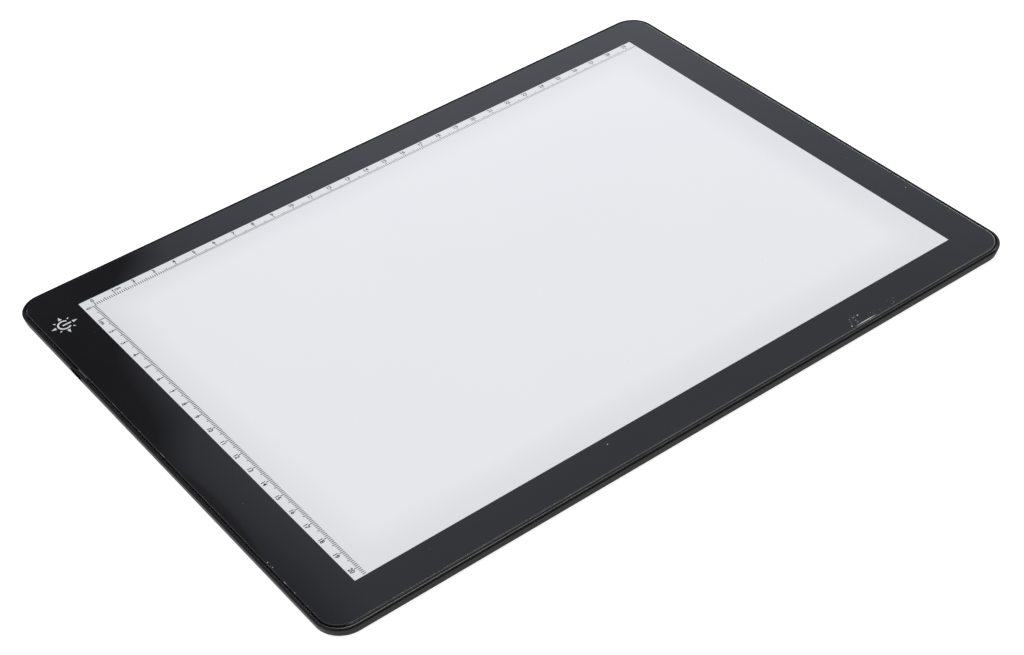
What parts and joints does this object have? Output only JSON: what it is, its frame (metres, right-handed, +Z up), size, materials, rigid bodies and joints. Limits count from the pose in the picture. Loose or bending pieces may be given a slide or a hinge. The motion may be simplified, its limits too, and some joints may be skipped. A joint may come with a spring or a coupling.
{
  "type": "led tracing pad",
  "caption": "Slim A4 LED light pad for tracing: white lit window with printed rulers in a glossy black border, touch mark in one corner, thin black tray, side power socket.",
  "frame": {"origin": "on the table under the middle of the tray, at the level of the feet's undersides", "axes": "+X along the long side away from the socket and touch mark, +Y to the edge with the long ruler, +Z up out of the lit face"},
  "size_m": [0.3412, 0.247, 0.006],
  "materials": {
    "tray_plastic": "fine satin moulding",
    "panel_white": "glossy, lit from behind",
    "black_ink": "glossy screen print",
    "white_ink": "screen print",
    "ruler_ink": "fine grey screen print",
    "rubber": "matt",
    "film_white": "white film",
    "guide_acrylic": "clear acrylic with a dot print",
    "tape": "double-sided tape",
    "board_green": "solder mask",
    "board_white": "white solder mask",
    "led_body": "yellow phosphor in a white body",
    "chip_black": "moulded epoxy",
    "tantalum": "moulded epoxy",
    "ceramic": "fired",
    "ferrite": "matt ferrite",
    "copper": "bare copper",
    "gold": "gold plate",
    "steel": "nickel-plated sheet",
    "foam": "conductive foam",
    "wire_red": "soft sleeve",
    "wire_black": "soft sleeve"
  },
  "bodies": {
    "root": {"back_tray": "tray_plastic", "foot_far_left": "rubber", "foot_far_right": "rubber", "foot_near_left": "rubber", "foot_near_right": "rubber", "reflector_sheet": "film_white", "light_guide": "guide_acrylic", "diffuser_sheet": "film_white", "edge_reflector_left": "film_white", "edge_reflector_right": "film_white", "led_board_far": "board_white", "led_row_far": "led_body", "led_board_near": "board_white", "led_row_near": "led_body", "panel_tape_far": "tape", "panel_tape_near": "tape", "panel_tape_right": "tape", "panel_tape_left_far": "tape", "panel_tape_left_near": "tape", "front_panel": "panel_white", "bezel_print": "black_ink", "touch_mark_print": "white_ink", "ruler_print_far": "ruler_ink", "ruler_print_left": "ruler_ink", "control_board": "board_green", "touch_chip": "chip_black", "dimming_transistor": "chip_black", "inductor": "ferrite", "diode": "chip_black", "tantalum_capacitor_1": "tantalum", "tantalum_capacitor_2": "tantalum", "ceramic_capacitor_1": "ceramic", "ceramic_capacitor_2": "ceramic", "resistor_1": "chip_black", "resistor_2": "chip_black", "resistor_3": "chip_black", "touch_electrode": "copper", "touch_foam": "foam", "board_screw_1": "steel", "board_screw_2": "steel", "socket_shell": "steel", "socket_insulator": "chip_black", "socket_contact_1": "gold", "socket_contact_2": "gold", "socket_contact_3": "gold", "socket_contact_4": "gold", "socket_contact_5": "gold", "far_wire_red": "wire_red", "near_wire_red": "wire_red", "far_wire_black": "wire_black", "near_wire_black": "wire_black"}
  },
  "joints": []
}
